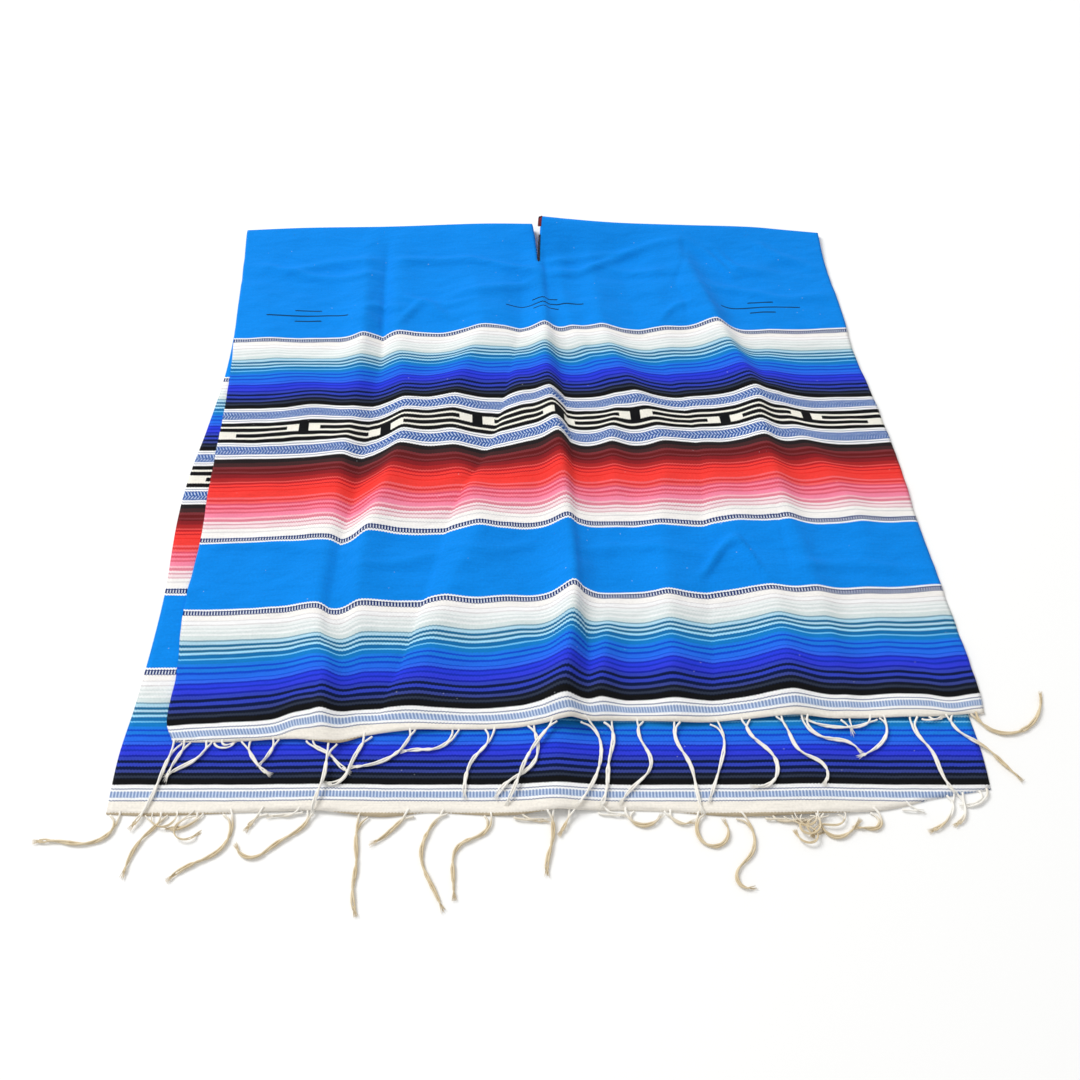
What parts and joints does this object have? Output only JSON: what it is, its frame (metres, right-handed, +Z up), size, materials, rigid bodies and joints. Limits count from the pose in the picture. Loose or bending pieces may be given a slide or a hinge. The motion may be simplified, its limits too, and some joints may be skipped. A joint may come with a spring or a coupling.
{
  "type": "mexican poncho",
  "caption": "Striped woven blanket poncho laid flat, doubled over at the shoulders, with a neck slit through the fold and a fringe along both hems.",
  "frame": {"origin": "middle of the whole footprint, on the surface that the poncho lies on", "axes": "+Z up, +X along the shoulder fold, +Y from the hems to the shoulder fold"},
  "size_m": [1.329, 1.314, 0.0426],
  "materials": {
    "azure_cloth": "woven, ribbed, matt",
    "striped_cloth": "woven, ribbed, matt",
    "cream_cotton": "twisted yarn, matt"
  },
  "bodies": {
    "root": {"front_panel": "azure_cloth", "back_panel": "striped_cloth", "front_fringe": "cream_cotton", "back_fringe": "cream_cotton"}
  },
  "joints": []
}
